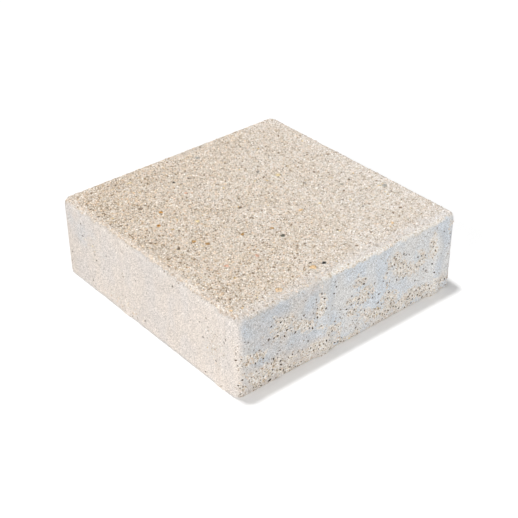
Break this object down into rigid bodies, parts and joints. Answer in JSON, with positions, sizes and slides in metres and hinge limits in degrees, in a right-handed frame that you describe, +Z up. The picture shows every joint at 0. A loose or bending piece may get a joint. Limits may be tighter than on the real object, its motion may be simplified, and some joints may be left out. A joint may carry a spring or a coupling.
{
  "type": "concrete paving stone",
  "caption": "Square concrete paving stone with a fine exposed-aggregate top, rounded upper edges and upright spacer nibs on its sides.",
  "frame": {"origin": "middle of the bed, the underside that lies on the ground", "axes": "+Z up through the thickness; the front side faces -Y, and the nibs of each side repeat those of the front by quarter turns"},
  "size_m": [0.201, 0.201, 0.062],
  "materials": {
    "concrete": "matte cream concrete, fine exposed aggregate on top, pale mould skin with open pores on the sides"
  },
  "bodies": {
    "root": {"paving_stone": "concrete"}
  },
  "joints": []
}
